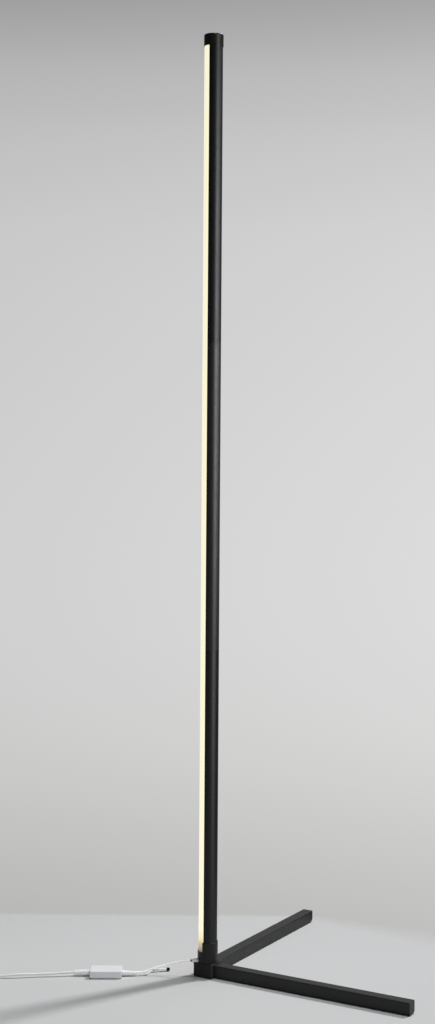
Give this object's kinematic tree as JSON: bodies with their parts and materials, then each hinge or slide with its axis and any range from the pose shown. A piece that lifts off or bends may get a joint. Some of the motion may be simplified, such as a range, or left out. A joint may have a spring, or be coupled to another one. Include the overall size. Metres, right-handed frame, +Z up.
{
  "type": "corner floor lamp",
  "caption": "Slim round black pole with a full-length milky light strip, on a square hub with legs at a right angle, with an inline controller on its thin white lead.",
  "frame": {"origin": "the axis of the pole where it meets the floor, on the underside of the hub foot pad", "axes": "+Z up along the pole, +X along the front leg, +Y along the rear leg; the light strip faces halfway between -X and -Y"},
  "size_m": [0.6856, 0.5432, 1.417],
  "materials": {
    "black_anodised": "satin",
    "bare_aluminium": "satin",
    "black_steel": "satin",
    "zinc_steel": "satin",
    "milky_diffuser": "satin",
    "strip_board": "satin",
    "led_phosphor": "gloss",
    "black_plastic": "satin",
    "grey_black_plastic": "satin",
    "black_collar": "satin",
    "black_coated_steel": "satin",
    "black_rubber": "matte",
    "connector_plastic": "satin",
    "dark_boot": "matte",
    "wire_insulation": "satin",
    "white_lead": "satin",
    "white_plastic": "satin",
    "white_soft_plastic": "satin",
    "circuit_board": "satin",
    "component_black": "satin",
    "clear_sleeve": "gloss",
    "black_lens": "gloss",
    "tie_black": "matte",
    "plug_steel": "gloss",
    "plug_tongue": "satin"
  },
  "bodies": {
    "root": {"base_collar": "black_collar", "coil_tie": "tie_black", "controller_board": "circuit_board", "controller_components": "component_black", "controller_lower_shell": "white_plastic", "controller_upper_shell": "white_plastic", "diffuser": "milky_diffuser", "front_leg_end_cap": "grey_black_plastic", "front_leg_insert": "bare_aluminium", "front_leg_tube": "black_coated_steel", "hub_block": "black_coated_steel", "hub_bottom_cover": "black_plastic", "hub_cover_screws": "black_steel", "hub_foot_pad": "black_rubber", "input_lead": "white_lead", "input_lead_coil": "white_lead", "input_lead_tail": "white_lead", "input_plug_body": "white_soft_plastic", "input_plug_shell": "plug_steel", "input_plug_tongue": "plug_tongue", "input_strain_relief": "white_soft_plastic", "lamp_lead": "white_lead", "lamp_lead_boot": "dark_boot", "lamp_lead_plug": "connector_plastic", "led_chips": "led_phosphor", "led_strip_board": "strip_board", "leg_foot_pads": "black_rubber", "leg_lock_screws": "black_steel", "leg_screws": "zinc_steel", "lower_pole_section": "black_anodised", "lower_splice": "bare_aluminium", "middle_pole_section": "black_anodised", "outlet_socket": "connector_plastic", "output_strain_relief": "white_soft_plastic", "pole_bolt": "zinc_steel", "pole_bolt_washer": "zinc_steel", "pole_foot_plug": "bare_aluminium", "pole_set_screws": "black_steel", "rear_leg_end_cap": "grey_black_plastic", "rear_leg_insert": "bare_aluminium", "rear_leg_tube": "black_coated_steel", "receiver_body": "white_plastic", "receiver_dome": "black_lens", "receiver_lead": "white_lead", "receiver_leads": "wire_insulation", "receiver_sleeve": "clear_sleeve", "strip_wires": "wire_insulation", "top_cap": "black_plastic", "top_cap_screws": "black_steel", "upper_pole_section": "black_anodised", "upper_splice": "bare_aluminium"}
  },
  "joints": []
}
